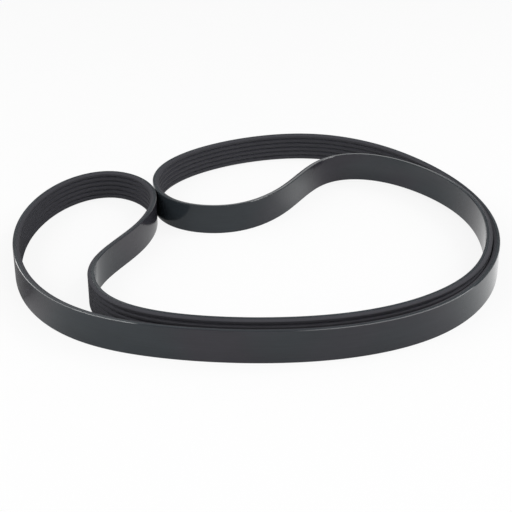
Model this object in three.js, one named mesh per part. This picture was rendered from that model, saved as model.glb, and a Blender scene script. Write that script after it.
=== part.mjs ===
// Alternator belt: an endless ribbed drive belt of black rubber, one moulded piece.
// It stands on one cut edge with its loop folded into itself, ribs on the inside of the loop.
// Millimetres, +Z up. The origin is under the middle of the folded loop, on the resting surface.

import * as THREE from 'three';

// Section of the belt
const RIB_COUNT = 6;
const RIB_PITCH = 3.56;
const RIB_HEIGHT = 2.2;
const RIB_FLANK_ANGLE = 20;
const RIB_TIP_WIDTH = 1.5;
const BELT_THICKNESS = 4.4;
const BACK_CORNER_BEVEL = 0.4;

// The loop as it lies
const BELT_LENGTH = 1975;
const NESTED_RUN_GAP = 0.8;
const INNER_RUN_LIFT = 4;

// How finely the loop is measured, and how finely its bends are cut into straight lengths
const SAMPLES_PER_POINT = 40;
const SETTLING_ROUNDS = 4;
const STEP_LENGTH = 32;
const STEP_TURN = 8;

// Points that pull the belt's back into shape, seen from above, counterclockwise round the loop.
// A third number is the share of INNER_RUN_LIFT by which the belt stands off the surface there.
const OUTER_FRONT = [[7.5, -144.5], [66.5, -136.5], [119.5, -109.5]];
const OUTER_RIGHT = [[156.5, -56.5], [169.5, 11.5], [156.5, 78.5]];
const OUTER_BACK = [[126.5, 134.5], [88.5, 174.5], [35, 194], [-34.5, 170]];
const BACK_BULB_TURN = [[-84.5, 115], [-73, 44], [-16, 29]];
const MIDDLE_RUN = [[25.5, 69.5], [50.5, 136, 0.5], [101, 131.5, 1]];
const INNER_RIGHT_LIFTS = [1, 1, 0.4];
const INNER_FRONT = [[113.5, -94.5], [56.5, -123.5], [-24, -127.5], [-92.5, -109]];
const LEFT_BULB_TURN = [[-110.5, -48], [-74, 5], [-66.5, 75]];
const LEFT_BULB = [[-108, 115.5], [-151, 86], [-170, 13.5], [-154, -67]];
const OUTER_LEFT = [[-113.5, -118.5], [-57.5, -138.5]];

// A closed line that runs smoothly past its points, with no break in its curvature
class SmoothLoop extends THREE.Curve {
  constructor(points) {
    super();
    this.points = points;
    this.arcLengthDivisions = points.length * SAMPLES_PER_POINT;
  }

  getPoint(t, target = new THREE.Vector3()) {
    const count = this.points.length;
    const span = Math.floor(t * count);
    const u = t * count - span;
    const pulls = [
      (1 - u) ** 3,
      3 * u ** 3 - 6 * u ** 2 + 4,
      -3 * u ** 3 + 3 * u ** 2 + 3 * u + 1,
      u ** 3,
    ];
    target.set(0, 0, 0);
    pulls.forEach((pull, k) => {
      const point = this.points[(span + k + count - 1) % count];
      target.addScaledVector(point, pull / 6);
    });
    return target;
  }
}

function layPoints(list, scale) {
  return list.map(([x, y, lift = 0]) => new THREE.Vector3(x * scale, y * scale, lift * INNER_RUN_LIFT));
}

// Level direction across a stretch of the loop, toward its ribbed side
function ribSide(from, to) {
  return new THREE.Vector3(from.y - to.y, to.x - from.x, 0).normalize();
}

// On the right the folded-in run lies rib to rib against the outer run, two belts further in
function nestedRun(before, outer, after) {
  const inset = 2 * BELT_THICKNESS + NESTED_RUN_GAP;
  const line = [before, ...outer, after];
  const nested = outer.map((point, i) => {
    const across = ribSide(line[i], line[i + 2]);
    return point.clone().addScaledVector(across, inset);
  });
  nested.reverse();
  nested.forEach((place, i) => {
    place.z = INNER_RIGHT_LIFTS[i] * INNER_RUN_LIFT;
  });
  return nested;
}

function loopAtScale(scale) {
  const outerFront = layPoints(OUTER_FRONT, scale);
  const outerRight = layPoints(OUTER_RIGHT, scale);
  const outerBack = layPoints(OUTER_BACK, scale);
  return new SmoothLoop([
    ...outerFront,
    ...outerRight,
    ...outerBack,
    ...layPoints(BACK_BULB_TURN, scale),
    ...layPoints(MIDDLE_RUN, scale),
    ...nestedRun(outerFront.at(-1), outerRight, outerBack[0]),
    ...layPoints(INNER_FRONT, scale),
    ...layPoints(LEFT_BULB_TURN, scale),
    ...layPoints(LEFT_BULB, scale),
    ...layPoints(OUTER_LEFT, scale),
  ]);
}

// The fold is drawn at the size at which the back of the belt is BELT_LENGTH long.
// The nested run keeps its distance at any scale, so a few rounds are needed to settle.
function foldedLoop() {
  let scale = 1;
  for (let round = 0; round < SETTLING_ROUNDS; round += 1) {
    scale *= BELT_LENGTH / loopAtScale(scale).getLength();
  }
  return loopAtScale(scale);
}

// Places along the loop where it is cut into straight lengths: closer together where it bends
function stations(loop) {
  const samples = loop.points.length * SAMPLES_PER_POINT;
  const turnLimit = THREE.MathUtils.degToRad(STEP_TURN);
  const travelled = [0];
  for (let i = 1; i <= samples; i += 1) {
    const before = loop.getPoint((i - 1) / samples);
    const here = loop.getPoint(i / samples);
    const after = loop.getPoint(((i + 1) % samples) / samples);
    const reach = here.clone().sub(before);
    const turn = reach.angleTo(after.sub(here));
    travelled.push(travelled.at(-1) + reach.length() / STEP_LENGTH + turn / turnLimit);
  }
  const count = Math.ceil(travelled.at(-1));
  const places = [];
  let i = 0;
  for (let k = 0; k < count; k += 1) {
    const goal = (k / count) * travelled.at(-1);
    while (travelled[i + 1] < goal) i += 1;
    const share = (goal - travelled[i]) / (travelled[i + 1] - travelled[i]);
    places.push((i + share) / samples);
  }
  return places;
}

// Outline of the belt cut across, as depth from its back and height up from its lower edge
function beltSection() {
  const width = RIB_COUNT * RIB_PITCH;
  const rootDepth = BELT_THICKNESS - RIB_HEIGHT;
  const flankRise = RIB_HEIGHT * Math.tan(THREE.MathUtils.degToRad(RIB_FLANK_ANGLE));
  const outline = [
    [BACK_CORNER_BEVEL, 0],
    [rootDepth, 0],
  ];
  for (let rib = 0; rib < RIB_COUNT; rib += 1) {
    const middle = (rib + 0.5) * RIB_PITCH;
    const halfTip = RIB_TIP_WIDTH / 2;
    outline.push([rootDepth, middle - halfTip - flankRise]);
    outline.push([BELT_THICKNESS, middle - halfTip]);
    outline.push([BELT_THICKNESS, middle + halfTip]);
    outline.push([rootDepth, middle + halfTip + flankRise]);
  }
  outline.push([rootDepth, width]);
  outline.push([BACK_CORNER_BEVEL, width]);
  outline.push([0, width - BACK_CORNER_BEVEL]);
  outline.push([0, BACK_CORNER_BEVEL]);
  return outline;
}

// The section carried once round the loop, always upright, and closed on itself
function sweptBelt(loop, section) {
  const places = stations(loop);
  const positions = [];
  const triangles = [];
  places.forEach((t) => {
    const back = loop.getPoint(t);
    const heading = loop.getTangent(t);
    const inward = new THREE.Vector3(-heading.y, heading.x, 0).normalize();
    section.forEach(([depth, height]) => {
      const point = back.clone().addScaledVector(inward, depth);
      positions.push(point.x, point.y, point.z + height);
    });
  });
  const corners = section.length;
  for (let i = 0; i < places.length; i += 1) {
    const ring = i * corners;
    const nextRing = ((i + 1) % places.length) * corners;
    for (let j = 0; j < corners; j += 1) {
      const k = (j + 1) % corners;
      triangles.push(ring + j, ring + k, nextRing + k);
      triangles.push(ring + j, nextRing + k, nextRing + j);
    }
  }
  const geometry = new THREE.BufferGeometry();
  geometry.setAttribute('position', new THREE.Float32BufferAttribute(positions, 3));
  geometry.setIndex(triangles);
  geometry.computeVertexNormals();
  return geometry;
}

const rubber = new THREE.MeshStandardMaterial({ color: 0x3b3d3f, roughness: 0.62, metalness: 0 });

function ribbedBelt() {
  const geometry = sweptBelt(foldedLoop(), beltSection());
  geometry.computeBoundingBox();
  const middle = geometry.boundingBox.getCenter(new THREE.Vector3());
  const belt = new THREE.Mesh(geometry, rubber);
  belt.name = 'ribbed_belt';
  belt.position.set(-middle.x, -middle.y, 0);
  return belt;
}

const alternatorBelt = new THREE.Group();
alternatorBelt.add(ribbedBelt());

export default alternatorBelt;
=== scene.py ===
# %% [markdown]
# # A ribbed drive belt, folded into itself
#
# The object is one endless belt of black rubber for a car's alternator. It stands on its cut
# edge, like a strip of card stood upright, and its loop is folded into itself so that it packs
# small. Inside the loop run six lengthwise ribs, outside it has a smooth back.
#
# The imported belt from the drawing step is loaded first. It fixes the place and the size, so
# the belt below is drawn in to its box.

# %% Load the imported belt
import math
import bpy
import numpy as np
from mathutils import Matrix, Vector


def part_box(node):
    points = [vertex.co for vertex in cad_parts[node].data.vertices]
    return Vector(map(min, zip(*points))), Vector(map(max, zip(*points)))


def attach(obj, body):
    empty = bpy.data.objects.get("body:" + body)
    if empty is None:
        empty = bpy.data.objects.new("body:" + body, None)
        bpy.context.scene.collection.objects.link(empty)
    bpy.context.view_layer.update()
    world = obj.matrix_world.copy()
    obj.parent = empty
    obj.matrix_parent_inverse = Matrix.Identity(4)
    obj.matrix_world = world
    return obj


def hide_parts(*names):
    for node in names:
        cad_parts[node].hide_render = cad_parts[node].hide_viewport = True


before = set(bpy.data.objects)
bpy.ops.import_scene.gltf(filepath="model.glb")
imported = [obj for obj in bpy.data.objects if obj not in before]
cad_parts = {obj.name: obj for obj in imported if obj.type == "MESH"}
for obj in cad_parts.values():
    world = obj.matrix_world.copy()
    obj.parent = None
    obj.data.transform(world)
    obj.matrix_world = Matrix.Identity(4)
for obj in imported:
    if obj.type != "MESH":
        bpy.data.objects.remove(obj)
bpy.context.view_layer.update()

# %% [markdown]
# ## The camera
#
# The photograph looks down on the belt by 26 degrees with a fairly long lens: the two ends of
# the loop show almost the same belt width. A tripod at that height and a lens of about 82 mm on
# a 36 mm wide sensor give the same frame. It aims at the ground a little in front of the middle.

# %% Set up the camera
bpy.context.scene.view_settings.view_transform = "Standard"

aim = np.array([-0.00053, -0.02232, 0.0])
look_down = math.radians(26)
tripod_distance = 0.80352

lens = bpy.data.cameras.new("photo_camera")
lens.sensor_width = 36
lens.lens = 82.11
camera = bpy.data.objects.new("photo_camera", lens)
camera.location = aim + tripod_distance * np.array([0, -math.cos(look_down), math.sin(look_down)])
camera.rotation_euler = (math.pi / 2 - look_down, 0, 0)
bpy.context.scene.collection.objects.link(camera)
bpy.context.scene.camera = camera
print("camera at", [round(v, 3) for v in camera.location])

# %% [markdown]
# ## How the loop lies
#
# A thin belt on edge can't kink: it bends in long even curves, only as tight as its own stiffness
# allows. A line drawn by a few points that only pull at it, a cubic B-spline, bends in the same
# way, with no break in its curvature. It could be a NURBS circle with its points moved by hand.
# Here the points are listed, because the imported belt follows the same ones, and two lines with
# the same points lie exactly on each other.
#
# The points are in millimetres, seen from above, counterclockwise round the loop. They place
# the smooth back. A third number is how far the belt stands off the table there: the folded-in
# run rides up to 4 mm higher than the rest.

# %% List the points that pull the loop into shape
MM = 0.001
belt_length = 1975 * MM
belt_thickness = 4.4 * MM
nested_gap = 0.8 * MM
lift = 4

front_run = [(7.5, -144.5, 0), (66.5, -136.5, 0), (119.5, -109.5, 0)]
right_end = [(156.5, -56.5, 0), (169.5, 11.5, 0), (156.5, 78.5, 0)]
rear_run = [(126.5, 134.5, 0), (88.5, 174.5, 0), (35, 194, 0), (-34.5, 170, 0)]
rear_fold = [(-84.5, 115, 0), (-73, 44, 0), (-16, 29, 0)]
middle_run = [(25.5, 69.5, 0), (50.5, 136, 0.5 * lift), (101, 131.5, lift)]
nested_lifts = [lift * MM, lift * MM, 0.4 * lift * MM]
inner_front_run = [(113.5, -94.5, 0), (56.5, -123.5, 0), (-24, -127.5, 0), (-92.5, -109, 0)]
left_fold = [(-110.5, -48, 0), (-74, 5, 0), (-66.5, 75, 0)]
left_end = [(-108, 115.5, 0), (-151, 86, 0), (-170, 13.5, 0), (-154, -67, 0)]
left_end += [(-113.5, -118.5, 0), (-57.5, -138.5, 0)]
listed = front_run + right_end + rear_run + rear_fold + middle_run
listed += inner_front_run + left_fold + left_end
print("points listed:", len(listed))

# %% [markdown]
# At the right the folded-in run lies rib to rib against the outer run. So its three points are
# not listed but measured off: two belts and a small gap further in, square to the outer run.

# %% Lay the points out at a scale
def in_metres(points, scale):
    return np.array(points) * MM * [scale, scale, 1]


def nested_run(before, outer, after):
    line = np.vstack([before, outer, after])
    along = line[2:, :2] - line[:-2, :2]
    along /= np.linalg.norm(along, axis=1)[:, None]
    toward_ribs = np.column_stack([-along[:, 1], along[:, 0], np.zeros(3)])
    run = (outer + toward_ribs * (2 * belt_thickness + nested_gap))[::-1]
    run[:, 2] = nested_lifts
    return run


def all_points(scale):
    front, right, rear = (in_metres(run, scale) for run in (front_run, right_end, rear_run))
    folded = in_metres(rear_fold + middle_run, scale)
    rest = in_metres(inner_front_run + left_fold + left_end, scale)
    return np.vstack([front, right, rear, folded, nested_run(front[-1], right, rear[0]), rest])


print("points with the nested ones:", len(all_points(1.0)))

# %% [markdown]
# The belt's length is known and the listed points are not quite at the right size for it. So the
# line is measured and scaled. The nested run keeps its distance at any scale, which is why this
# takes a few rounds to settle.

# %% Draw the smooth line at the belt's length
def smooth_line(points, steps):
    u = (np.arange(steps) / steps)[:, None]
    pulls = ((1 - u) ** 3, 3 * u**3 - 6 * u**2 + 4, -3 * u**3 + 3 * u**2 + 3 * u + 1, u**3)
    around = [np.roll(points, 1 - k, axis=0) for k in range(4)]
    spans = [sum(pull * four[i] for pull, four in zip(pulls, around)) / 6 for i in range(len(points))]
    return np.vstack(spans)


def length_of(line):
    return np.linalg.norm(np.roll(line, -1, axis=0) - line, axis=1).sum()


steps_to_measure, steps_to_lay = 40, 400
scale = 1.0
for settling in range(4):
    scale *= belt_length / length_of(smooth_line(all_points(scale), steps_to_measure))
fine_line = smooth_line(all_points(scale), steps_to_lay)
print("length round the back:", round(length_of(fine_line) * 1000, 1), "mm")

# %% [markdown]
# The section is carried round at even distances, so the line is cut into equal lengths. 1000
# of them are 2 mm each. The tightest bend, 26 mm in radius, then turns a little over 4 degrees
# from one to the next, which smooth shading rounds off.

# %% Cut the line into equal lengths
station_count = 1000
hops = np.linalg.norm(np.roll(fine_line, -1, axis=0) - fine_line, axis=1)
walked = np.concatenate([[0], np.cumsum(hops)])
closed = np.vstack([fine_line, fine_line[:1]])
distance = np.arange(station_count) / station_count * walked[-1]
back_line = np.column_stack([np.interp(distance, walked, closed[:, axis]) for axis in range(3)])

heading = np.roll(back_line, -1, axis=0) - np.roll(back_line, 1, axis=0)
to_ribs = np.column_stack([-heading[:, 1], heading[:, 0], np.zeros(station_count)])
to_ribs /= np.linalg.norm(to_ribs, axis=1)[:, None]
print("stations:", station_count, "spacing", round(walked[-1] / station_count * 1000, 2), "mm")

# %% [markdown]
# ## The section
#
# The ribs have the standard section of car belts: one every 3.56 mm, 2.2 mm high, flanks that
# lean 20 degrees, ground flat at the tip. Both edges of the back are bevelled by 0.4 mm, and
# this narrow face draws the bright line along the belt's upper edge.
#
# A mould and a grinding wheel leave no knife-sharp corners. So each corner is replaced by a
# short arc, and every point keeps the direction that the surface faces there. With those
# directions the flats stay flat and only the arcs shade round.

# %% Draw the outline with sharp corners
rib_count = 6
rib_pitch = 3.56 * MM
rib_height = 2.2 * MM
rib_tip = 1.5 * MM
flank_run = rib_height * math.tan(math.radians(20))
belt_width = rib_count * rib_pitch
root_depth = belt_thickness - rib_height

back_bevel = 0.4 * MM
bevel_round, rim_round, root_round, tip_round = 0.12 * MM, 0.16 * MM, 0.2 * MM, 0.28 * MM
corners = [(0, back_bevel, bevel_round), (back_bevel, 0, bevel_round), (root_depth, 0, rim_round)]
for rib in range(rib_count):
    middle = (rib + 0.5) * rib_pitch
    for side in (-1, 1):
        foot = (root_depth, middle + side * (rib_tip / 2 + flank_run), root_round)
        shoulder = (belt_thickness, middle + side * rib_tip / 2, tip_round)
        corners += [foot, shoulder] if side < 0 else [shoulder, foot]
corners += [(root_depth, belt_width, rim_round), (back_bevel, belt_width, bevel_round)]
corners += [(0, belt_width - back_bevel, bevel_round)]
print("corners in the outline:", len(corners))

# %% Round every corner
def arc_at(before, corner, after, radius, steps):
    into = (corner - before) / np.linalg.norm(corner - before)
    out = (after - corner) / np.linalg.norm(after - corner)
    turn = math.atan2(into[0] * out[1] - into[1] * out[0], into @ out)
    cut = radius * math.tan(abs(turn) / 2)
    bend = math.copysign(1, turn)
    centre = corner - into * cut + bend * radius * np.array([-into[1], into[0]])
    points, faces = [], []
    for step in range(steps + 1):
        cosine, sine = math.cos(turn * step / steps), math.sin(turn * step / steps)
        swung = np.array([into[1] * cosine + into[0] * sine, into[1] * sine - into[0] * cosine])
        points.append(centre + bend * radius * swung)
        faces.append(swung)
    return points, faces


outline, facing = [], []
for i, (depth, height, radius) in enumerate(corners):
    before, after = np.array(corners[i - 1][:2]), np.array(corners[(i + 1) % len(corners)][:2])
    points, faces = arc_at(before, np.array([depth, height]), after, radius, steps=2)
    outline += points
    facing += faces
outline, facing = np.array(outline), np.array(facing)
print("points in the rounded outline:", len(outline))

# %% [markdown]
# ## The belt
#
# The outline goes round the loop station by station, always upright, and the last station
# joins the first. A curve with a bevel object could do this too. Laying the mesh by hand keeps
# three things that a bevel would lose: the exact directions for shading, the place of each
# point on the belt as it was made, and which faces are back, ribs or cut edge.
#
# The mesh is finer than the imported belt, so it swings out a hair further in the bends. It is
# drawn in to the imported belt's box, so that the two are the same size.

# %% Lay the outline round the loop
ring = len(outline)
vertices = back_line[:, None, :] + to_ribs[:, None, :] * outline[None, :, :1]
vertices[:, :, 2] += outline[None, :, 1]

cad_low, cad_high = (np.array(end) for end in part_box("ribbed_belt"))
low, high = vertices.min(axis=(0, 1)), vertices.max(axis=(0, 1))
fit = (cad_high - cad_low)[:2] / (high - low)[:2]
vertices[:, :, :2] = (vertices[:, :, :2] - (low + high)[:2] / 2) * fit + (cad_low + cad_high)[:2] / 2
print("fit to the packed belt:", fit.round(5))

# %% [markdown]
# In the photograph the folded-in run leans back a little, and its upper edge mirrors the white
# low part of the tent behind it as a bright line. Tilting the run itself would move it off the
# packed belt. So only the directions for shading tilt there, those of faces that look up, by 6
# degrees and by 12 in the middle of the run. The mesh stays upright.

# %% Tilt the shading of the folded-in run's upper edge
lean_stations = [335, 360, 380, 400, 425, 440, 490, 520]
lean_degrees = [0, 6, 6, 12, 12, 6, 6, 0]
lean = np.radians(np.interp(np.arange(station_count), lean_stations, lean_degrees))
looks_up = np.clip(1.3 * facing[:, 1], 0, 1)
tilt = lean[:, None] * looks_up
sideways = np.cos(tilt) * facing[:, 0] + np.sin(tilt) * facing[:, 1]
upright = np.cos(tilt) * facing[:, 1] - np.sin(tilt) * facing[:, 0]
directions = to_ribs[:, None, :] * sideways[:, :, None] + np.array([0, 0, 1]) * upright[:, :, None]
print("stations with tilted shading:", int((lean > 0).sum()))

# %% Join the stations into faces
station, corner = np.meshgrid(np.arange(station_count), np.arange(ring), indexing="ij")
next_station, next_corner = (station + 1) % station_count, (corner + 1) % ring
quads = np.stack([
    station * ring + corner,
    station * ring + next_corner,
    next_station * ring + next_corner,
    next_station * ring + corner,
], axis=-1).reshape(-1, 4)

mesh = bpy.data.meshes.new("folded_belt")
mesh.from_pydata(vertices.reshape(-1, 3).tolist(), [], quads.tolist())
mesh.polygons.foreach_set("use_smooth", np.ones(len(quads), bool))
mesh.normals_split_custom_set_from_vertices(directions.reshape(-1, 3).tolist())
belt = bpy.data.objects.new("folded_belt", mesh)
bpy.context.scene.collection.objects.link(belt)
print("faces:", len(mesh.polygons), "triangles:", 2 * len(mesh.polygons))

# %% [markdown]
# ## Where each point was when the belt was made
#
# A belt is built as a round sleeve on a drum, ground there, and cut into rings. Every streak and
# scratch of that work runs round the drum. If the marks were laid out in the folded belt's own
# space, they would run straight across its bends. So each point also remembers its place on the
# drum, and the materials read that: the marks then follow the folds, with no seam. A second
# value is how deep the point lies under the back.

# %% Remember the place on the drum
drum_radius = belt_length / (2 * math.pi)
swing = distance / walked[-1] * 2 * math.pi
from_axis = drum_radius - outline[:, 0]
on_drum = np.stack([
    np.cos(swing)[:, None] * from_axis,
    np.sin(swing)[:, None] * from_axis,
    np.broadcast_to(outline[:, 1], (station_count, ring)),
], axis=-1)
depths = np.broadcast_to(outline[:, 0], (station_count, ring))
mesh.attributes.new("on_drum", "FLOAT_VECTOR", "POINT").data.foreach_set("vector", on_drum.ravel())
mesh.attributes.new("depth", "FLOAT", "POINT").data.foreach_set("value", depths.ravel())
print("drum radius:", round(drum_radius * 1000, 1), "mm")

# %% [markdown]
# ## A flat map of the skin
#
# For painting or baking, the skin has to lie flat. Slit along one corner it is a ribbon 2 m long
# and 6.4 cm wide, so it is cut into five pieces that lie in rows, one above the other.

# %% Unroll the skin onto a map
pieces = 5
per_piece = station_count // pieces
strip_margin, map_margin = 0.02, 0.01
edge_lengths = np.linalg.norm(np.roll(outline, -1, axis=0) - outline, axis=1)
girth = np.concatenate([[0], np.cumsum(edge_lengths)]) / edge_lengths.sum()

piece, place_in_piece = station // per_piece, station % per_piece
left, right = place_in_piece / per_piece, (place_in_piece + 1) / per_piece
lower = (piece + strip_margin + (1 - 2 * strip_margin) * girth[corner]) / pieces
upper = (piece + strip_margin + (1 - 2 * strip_margin) * girth[corner + 1]) / pieces
skin = np.stack([left, lower, left, upper, right, upper, right, lower], axis=-1).ravel()
mesh.uv_layers.new(name="OFBake").uv.foreach_set("vector", skin * (1 - 2 * map_margin) + map_margin)
print("girth of the section:", round(edge_lengths.sum() * 1000, 1), "mm")

# %% [markdown]
# ## The rubber
#
# It is one rubber all through, near black with a cool cast, but three tools have left three
# surfaces. The back was pressed against a smooth sleeve and is satin. The ribs were ground and
# are matt. The edges were cut by a knife. Each gets its own material on its own faces.
#
# The node trees could be drawn in the shader editor. Here a few small helpers write them: add
# makes a node and fills its sockets, by name or, as in i2 for the third, by number. grain is
# noise stretched along the belt, spread carries a value from one range to another, and mix
# blends two values. Noise seldom leaves 0.3 to 0.7, so that is the range it is spread from.
#
# A new material also gets one plain roughness, for viewers that don't follow its nodes.

# %% Helpers for node trees
def new_material(name, shine, roughness):
    material = bpy.data.materials.new(name)
    material.use_nodes = True
    skin_shader = material.node_tree.nodes["Principled BSDF"]
    skin_shader.inputs["Specular IOR Level"].default_value = shine
    skin_shader.inputs["Roughness"].default_value = roughness
    return material, material.node_tree, skin_shader


def add(tree, kind, settings=None, **sockets):
    made = tree.nodes.new(kind)
    for name, value in (settings or {}).items():
        setattr(made, name, value)
    for name, value in sockets.items():
        by_number = name[0] == "i" and name[1:].isdigit()
        socket = made.inputs[int(name[1:])] if by_number else made.inputs[name]
        if isinstance(value, bpy.types.NodeSocket):
            tree.links.new(value, socket)
        else:
            socket.default_value = value
    return made


def spread(tree, value, low, high, out_low, out_high):
    ranged = add(tree, "ShaderNodeMapRange", i0=value, i1=low, i2=high, i3=out_low, i4=out_high)
    return ranged.outputs[0]


def sums(tree, operation, first, second):
    return add(tree, "ShaderNodeMath", {"operation": operation}, i0=first, i1=second).outputs[0]


def times(tree, first, second):
    return sums(tree, "MULTIPLY", first, second)


def plus(tree, first, second):
    return sums(tree, "ADD", first, second)


def mix(tree, share, first, second):
    mixed = add(tree, "ShaderNodeMix", {"data_type": "FLOAT"}, i0=share, i2=first, i3=second)
    return mixed.outputs[0]


# %% Helpers that read the belt
def remembered(tree, name):
    return add(tree, "ShaderNodeAttribute", {"attribute_name": name})


def grain(tree, along_the_belt, across, detail=2.0):
    place = remembered(tree, "on_drum").outputs["Vector"]
    per_metre = (1 / along_the_belt, 1 / along_the_belt, 1 / across)
    stretched = add(tree, "ShaderNodeVectorMath", {"operation": "MULTIPLY"}, i0=place, i1=per_metre)
    noise = add(tree, "ShaderNodeTexNoise", Vector=stretched.outputs[0], Scale=1.0, Detail=detail)
    return noise.outputs["Fac"]


def tinted(tree, colour, amount):
    made = add(tree, "ShaderNodeVectorMath", {"operation": "SCALE"}, i0=colour)
    tree.links.new(amount, made.inputs["Scale"])
    return made.outputs[0]


rubber_black = (0.0235, 0.0290, 0.0340)
rubber_violet = (0.0280, 0.0268, 0.0335)
ground_black = (0.0285, 0.0285, 0.0335)
print("rubber colours:", rubber_black, rubber_violet, ground_black)

# %% [markdown]
# ### The smooth back
#
# Close up it is not quite even: a fine pebble from the sleeve, faint streaks along the belt,
# and broad patches where hands have polished or dusted it. The pebble and the streaks go into
# the bump, the patches into colour and roughness, each by a few percent only. Along the loop its
# black drifts between a green-blue and a violet cast, as in the photograph.

# %% Make the smooth back
back_rubber, tree, shader = new_material("smooth_back_rubber", 0.3, 0.14)
pebble = grain(tree, 0.45 * MM, 0.45 * MM, detail=3)
streak = grain(tree, 30 * MM, 0.5 * MM)
patch = grain(tree, 45 * MM, 16 * MM, detail=3)
drift = grain(tree, 90 * MM, 60 * MM, detail=1)

tone = spread(tree, patch, 0.3, 0.7, 0.9, 1.1)
tone = plus(tree, tone, spread(tree, streak, 0.3, 0.7, -0.05, 0.05))
cast = add(tree, "ShaderNodeMix", {"data_type": "RGBA"}, i0=spread(tree, drift, 0.5, 0.64, 0, 1),
           i6=(*rubber_black, 1), i7=(*rubber_violet, 1))
tree.links.new(tinted(tree, cast.outputs[2], tone), shader.inputs["Base Color"])

wear = spread(tree, patch, 0.3, 0.7, 0.17, 0.11)
wear = plus(tree, wear, spread(tree, streak, 0.3, 0.7, -0.02, 0.02))
tree.links.new(wear, shader.inputs["Roughness"])
relief = plus(tree, times(tree, pebble, 0.6), times(tree, streak, 0.4))
bump = add(tree, "ShaderNodeBump", Height=relief, Strength=0.1, Distance=0.03 * MM)
tree.links.new(bump.outputs["Normal"], shader.inputs["Normal"])
print("nodes on the back:", len(tree.nodes))

# %% [markdown]
# ### The ground ribs
#
# The wheel leaves fine lines along the ribs and lifts short fibres out of the rubber, which show
# as pale flecks. The tips are scuffed and a little dusty.
#
# Grooves this narrow lie in their own shade, but in the photograph they are only a little darker
# than the tips. So light is painted into them: the rubber is painted lighter the deeper it lies,
# which is painted light and not a lighter rubber. The outermost flank of the first and the last
# rib lies open to the light, and gets about half as much painted light.

# %% Start the ribs' material and find the outermost flanks
rib_rubber, tree, shader = new_material("ground_rib_rubber", 0.3, 0.7)
up_the_belt = add(tree, "ShaderNodeSeparateXYZ", Vector=remembered(tree, "on_drum").outputs["Vector"])
off_centre = sums(tree, "SUBTRACT", up_the_belt.outputs["Z"], belt_width / 2)
from_middle = sums(tree, "ABSOLUTE", off_centre, 0)
flank_start = belt_width / 2 - (rib_pitch - rib_tip) / 2
flank_end = belt_width / 2 - 0.4 * MM
# The outermost flanks get about half the painted light of the grooves.
painted_light_share = spread(tree, from_middle, flank_start, flank_end, 1.0, 0.52)
print("outermost flanks:", round((belt_width / 2 - flank_start) * 1000, 2), "mm wide")

# %% Make the ground ribs
under_the_back = remembered(tree, "depth").outputs["Fac"]
grind = grain(tree, 18 * MM, 0.22 * MM, detail=3)
fleck = grain(tree, 0.9 * MM, 0.3 * MM, detail=1)
dust = grain(tree, 30 * MM, 12 * MM, detail=4)
near_tip = spread(tree, under_the_back, 3.9 * MM, 4.35 * MM, 0, 0.35)

# Painted light: the rubber is painted up to 3.6 times lighter at the roots than at the tips, standing
# in for the light that the grooves' shade takes away.
tone = spread(tree, under_the_back, root_depth, belt_thickness, 3.6, 1.0)
tone = plus(tree, times(tree, tone, painted_light_share), times(tree, near_tip, dust))
tone = plus(tree, tone, spread(tree, grind, 0.3, 0.7, -0.12, 0.12))
tone = plus(tree, tone, spread(tree, fleck, 0.68, 0.76, 0, 0.5))
tree.links.new(tinted(tree, ground_black, tone), shader.inputs["Base Color"])
tree.links.new(spread(tree, grind, 0.3, 0.7, 0.62, 0.8), shader.inputs["Roughness"])
relief = plus(tree, times(tree, grind, 0.7), times(tree, fleck, 0.3))
bump = add(tree, "ShaderNodeBump", Height=relief, Strength=0.3, Distance=0.04 * MM)
tree.links.new(bump.outputs["Normal"], shader.inputs["Normal"])
print("nodes on the ribs:", len(tree.nodes))

# %% [markdown]
# ### The cut edges
#
# The knife leaves a fairly even face with shallow lines along the belt. Some way in from the back
# it has run through the cords that take the pull: they show as a thin paler line that comes
# and goes, because the cord winds round the drum at a slight slope.

# %% Make the cut edges
edge_rubber, tree, shader = new_material("cut_edge_rubber", 0.3, 0.2)
cord_depth, cord_half = 1.25 * MM, 0.22 * MM
knife = grain(tree, 25 * MM, 0.15 * MM)
comes_and_goes = spread(tree, grain(tree, 22 * MM, 50 * MM), 0.45, 0.6, 0, 1)
strand = spread(tree, grain(tree, 0.8 * MM, 0.8 * MM, detail=1), 0.35, 0.6, 0.4, 1)
at_cord = add(tree, "ShaderNodeMath", {"operation": "COMPARE"},
              i0=remembered(tree, "depth").outputs["Fac"], i1=cord_depth, i2=cord_half)
cord = times(tree, times(tree, at_cord.outputs[0], comes_and_goes), strand)

tone = plus(tree, spread(tree, knife, 0.3, 0.7, 0.9, 1.2), times(tree, cord, 0.9))
tree.links.new(tinted(tree, rubber_black, tone), shader.inputs["Base Color"])
tree.links.new(spread(tree, knife, 0.3, 0.7, 0.16, 0.24), shader.inputs["Roughness"])
relief = plus(tree, knife, times(tree, cord, 0.5))
bump = add(tree, "ShaderNodeBump", Height=relief, Strength=0.1, Distance=0.03 * MM)
tree.links.new(bump.outputs["Normal"], shader.inputs["Normal"])
print("nodes on the edges:", len(tree.nodes))

# %% [markdown]
# Which faces get which surface follows from the outline: everything no deeper than the back's
# bevels is back, everything deeper than the ribs' roots is rib, and what is left, at the two
# ends of the outline, is cut edge.

# %% Give each face its surface
middle_depth = (outline[:, 0] + np.roll(outline[:, 0], -1)) / 2
surface = np.full(ring, 2)
surface[middle_depth < back_bevel] = 0
surface[middle_depth > root_depth] = 1
for material in (back_rubber, rib_rubber, edge_rubber):
    mesh.materials.append(material)
mesh.polygons.foreach_set("material_index", np.tile(surface, station_count).astype(np.int32))
print("outline faces of back, ribs, edge:", [int((surface == k).sum()) for k in range(3)])

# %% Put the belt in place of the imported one
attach(belt, "root")
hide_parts("ribbed_belt")
print("in place of the packed belt:", belt.name)
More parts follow.
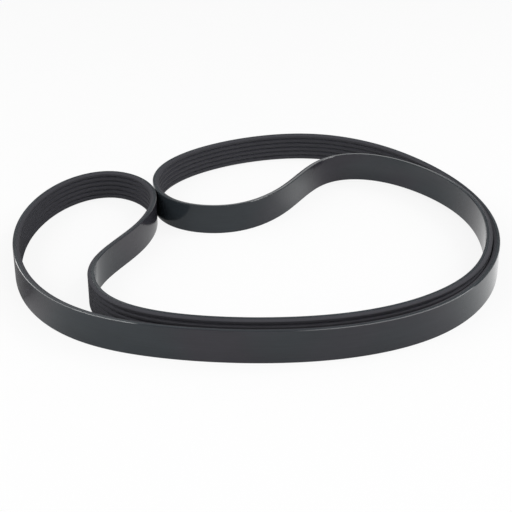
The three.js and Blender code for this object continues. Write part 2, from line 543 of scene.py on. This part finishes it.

# %% [markdown]
# ## Floor, surroundings and lamps
#
# The belt stands on white paper in a photographer's white tent. Most of what its satin back
# shows is the paper in front of it, mirrored weakly where the back faces the camera and strongly
# where it turns away. That draws the bright ends, helped at the right end by a painted reflection
# in the paper.
#
# Enough light to make the paper white would wash out the belt. So most of the white that the
# camera sees in it is a glow of its own, which lights nothing. The rest is lit by the lamps, which
# keeps the belt's soft shadow on the paper.

# %% Lay the floor
half_side = 3.0
floor_corners = [(-half_side, -half_side, 0), (half_side, -half_side, 0)]
floor_corners += [(half_side, half_side, 0), (-half_side, half_side, 0)]
floor_mesh = bpy.data.meshes.new("table_top")
floor_mesh.from_pydata(floor_corners, [], [(0, 1, 2, 3)])
floor = bpy.data.objects.new("table_top", floor_mesh)
bpy.context.scene.collection.objects.link(floor)


def seen_directly(tree):
    ray = add(tree, "ShaderNodeLightPath")
    seen = plus(tree, ray.outputs["Is Camera Ray"], ray.outputs["Is Glossy Ray"])
    any_of_them = add(tree, "ShaderNodeMath", {"operation": "ADD", "use_clamp": True},
                      i0=seen, i1=ray.outputs["Is Transmission Ray"])
    return any_of_them.outputs[0]


print("floor:", 2 * half_side, "m wide")

# %% [markdown]
# The paper is not evenly bright where the belt mirrors it. Past the left end the photograph's
# walls are dark, so the mirrored paper is grey there. Past the right end it is brighter, and so is
# one spot in the loop, which the middle run mirrors where it turns sideways.

# %% Make the paper
paper = bpy.data.materials.new("white_paper")
paper.use_nodes = True
tree = paper.node_tree
tree.nodes.clear()
on_paper = add(tree, "ShaderNodeTexCoord").outputs["Object"]
place = add(tree, "ShaderNodeSeparateXYZ", Vector=on_paper)
mirrored = add(tree, "ShaderNodeLightPath").outputs["Is Glossy Ray"]

# Painted reflections: only in mirrors, the paper glows a dark grey past the left end, and brighter
# than white past the right end and at one spot in the loop.
left_of_loop = spread(tree, place.outputs["X"], -0.11, -0.10, 1.0, 0.0)
grey = times(tree, left_of_loop, spread(tree, place.outputs["Y"], -0.125, -0.085, 0.0, 1.0))
bright = spread(tree, place.outputs["X"], 0.125, 0.17, 1.25, 2.1)
spot_middle = (0.056, 0.074, 0)
to_spot = add(tree, "ShaderNodeVectorMath", {"operation": "DISTANCE"}, i0=on_paper, i1=spot_middle)
bright = plus(tree, bright, spread(tree, to_spot.outputs["Value"], 0.014, 0.034, 0.8, 0.0))

# Seen directly, the paper glows an even white. In mirrors, the glow carries the painted reflections.
glow = mix(tree, mirrored, 1.0, spread(tree, grey, 0, 1, bright, 0.2))
share_seen = times(tree, seen_directly(tree), 0.86)
share = mix(tree, mirrored, share_seen, spread(tree, grey, 0, 1, 0.35, 1.0))
lit = add(tree, "ShaderNodeBsdfDiffuse", Color=(0.88, 0.88, 0.88, 1))
white = add(tree, "ShaderNodeEmission", Color=(1, 1, 1, 1), Strength=glow)
mixed = add(tree, "ShaderNodeMixShader", i0=share, i1=lit.outputs[0], i2=white.outputs[0])
add(tree, "ShaderNodeOutputMaterial", Surface=mixed.outputs[0])
floor_mesh.materials.append(paper)
print("nodes in the paper:", len(tree.nodes))

# %% [markdown]
# The upper edge looks up and mirrors the tent behind the belt. It shows white where it leans back
# and dark grey where it lies flat, so the tent has a white wall low down, a dark band above it and
# a dim ceiling. A picture wrapped round the scene would do it too, but two ranges of height need
# no picture. What the tent gives as light on the belt is an even grey.

# %% Light the surroundings
world = bpy.data.worlds.new("white_tent")
world.use_nodes = True
bpy.context.scene.world = world
tree = world.node_tree
tree.nodes.clear()
direction = add(tree, "ShaderNodeTexCoord").outputs["Generated"]
upward = add(tree, "ShaderNodeSeparateXYZ", Vector=direction).outputs["Z"]
wall = spread(tree, upward, 0.25, 0.31, 1.0, 0.04)
ceiling = spread(tree, upward, 0.36, 0.42, 0, 0.33)
strength = mix(tree, seen_directly(tree), 0.4, plus(tree, wall, ceiling))
tent = add(tree, "ShaderNodeBackground", Color=(1, 1, 1, 1), Strength=strength)
add(tree, "ShaderNodeOutputWorld", Surface=tent.outputs[0])
print("nodes in the surroundings:", len(tree.nodes))

# %% [markdown]
# The narrow bevel along the upper edge faces half up and half outward. Round the loop it mirrors
# an arc high above the belt to the camera, and a lamp on that arc draws a bright line along one
# stretch of the edge. So narrow lamps lie along the arc, one for each stretch that shines in the
# photograph. A broad faint one stands in front. Each is a panel between two points, in metres,
# that faces the belt. Its power follows from its area, so that a new size keeps its brightness.

# %% Hang the lamps
def panel_lamp(name, start, end, height, radiance):
    start, end = Vector(start), Vector(end)
    light = bpy.data.lights.new(name, "AREA")
    light.shape = "RECTANGLE"
    light.size, light.size_y = (end - start).length, height
    light.energy = radiance * math.pi * light.size * light.size_y
    along = (end - start).normalized()
    backward = (start + end).normalized()
    up = backward.cross(along).normalized()
    turn = Matrix((along, up, along.cross(up))).transposed()
    lamp = bpy.data.objects.new(name, light)
    lamp.matrix_world = Matrix.Translation((start + end) / 2) @ turn.to_4x4()
    bpy.context.scene.collection.objects.link(lamp)
    print(name, [round(v, 2) for v in (start + end) / 2], round(light.energy, 1), "W")


panel_lamp("right_strip", (0.30, -0.84, 1.21), (1.00, -0.45, 1.03), 0.16, 8)
panel_lamp("right_end_strip", (1.00, -0.45, 1.03), (1.33, 0.40, 0.57), 0.16, 8)
panel_lamp("left_strip", (-0.72, -0.68, 1.13), (-1.18, -0.20, 0.90), 0.16, 11)
panel_lamp("left_end_strip", (-1.18, -0.20, 0.90), (-1.30, 0.62, 0.42), 0.14, 7)
panel_lamp("middle_run_strip", (0.82, 0.14, 1.25), (0.99, 0.60, 0.96), 0.16, 9.5)
panel_lamp("left_far_strip", (-1.30, 0.62, 0.42), (-1.14, 0.96, 0.15), 0.12, 6)
panel_lamp("front_softbox", (-0.9, -1.28, 0.96), (0.9, -1.28, 0.96), 1.0, 1.1)
panel_lamp("rear_left_strip", (-0.49, 1.10, 0.74), (-0.24, 1.18, 0.74), 0.12, 1.2)
